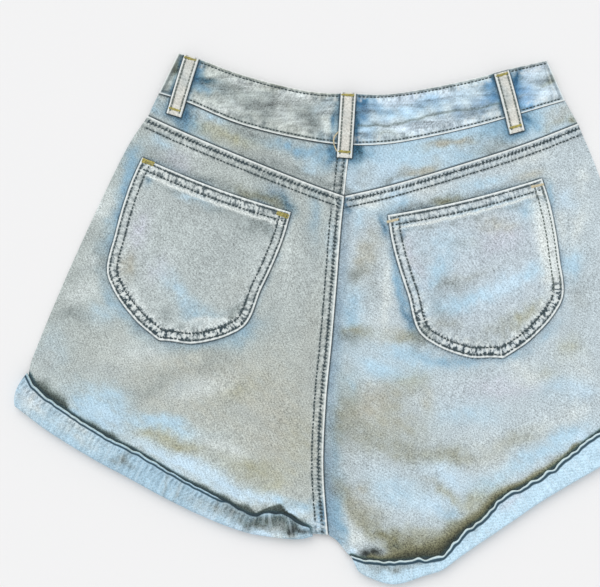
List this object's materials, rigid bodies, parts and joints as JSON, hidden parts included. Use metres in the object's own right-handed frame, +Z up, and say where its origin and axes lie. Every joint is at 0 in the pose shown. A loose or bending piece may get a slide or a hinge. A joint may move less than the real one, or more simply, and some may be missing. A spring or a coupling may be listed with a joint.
{
  "type": "denim shorts",
  "caption": "Short denim trousers laid flat, back side up, with a V yoke, patch pockets, belt loops and turned-up leg ends that show the cloth's paler reverse.",
  "frame": {"origin": "on the surface that the shorts lie on, under the middle of their bounding box", "axes": "+Z up from the surface towards the back side of the shorts; +Y from the crotch up to the waist; +X across, towards the wearer's right"},
  "size_m": [0.5918, 0.4776, 0.0123],
  "materials": {
    "denim": "washed and faded twill, matt",
    "yoke_denim": "washed and faded twill, matt",
    "band_denim": "washed and faded twill, matt",
    "pocket_denim": "washed and faded twill, matt",
    "loop_denim": "washed and faded twill with worn edges, matt",
    "cuff_left_denim": "reverse of the twill, creased, matt",
    "cuff_right_denim": "reverse of the twill, pale and plain, matt",
    "button_metal": "aged, dull"
  },
  "bodies": {
    "root": {"back_panel_left": "denim", "back_panel_right": "denim", "yoke_left": "yoke_denim", "yoke_right": "yoke_denim", "waistband_back": "band_denim", "pocket_left": "pocket_denim", "pocket_right": "pocket_denim", "loop_left": "loop_denim", "loop_centre": "loop_denim", "loop_right": "loop_denim", "cuff_left_back": "cuff_left_denim", "cuff_right_back": "cuff_right_denim", "front_panel_left": "denim", "front_panel_right": "denim", "waistband_front_left": "band_denim", "waistband_front_right": "band_denim", "cuff_left_front": "cuff_left_denim", "cuff_right_front": "cuff_right_denim", "fly": "denim", "button": "button_metal", "loop_front_left": "loop_denim", "loop_front_right": "loop_denim"}
  },
  "joints": []
}
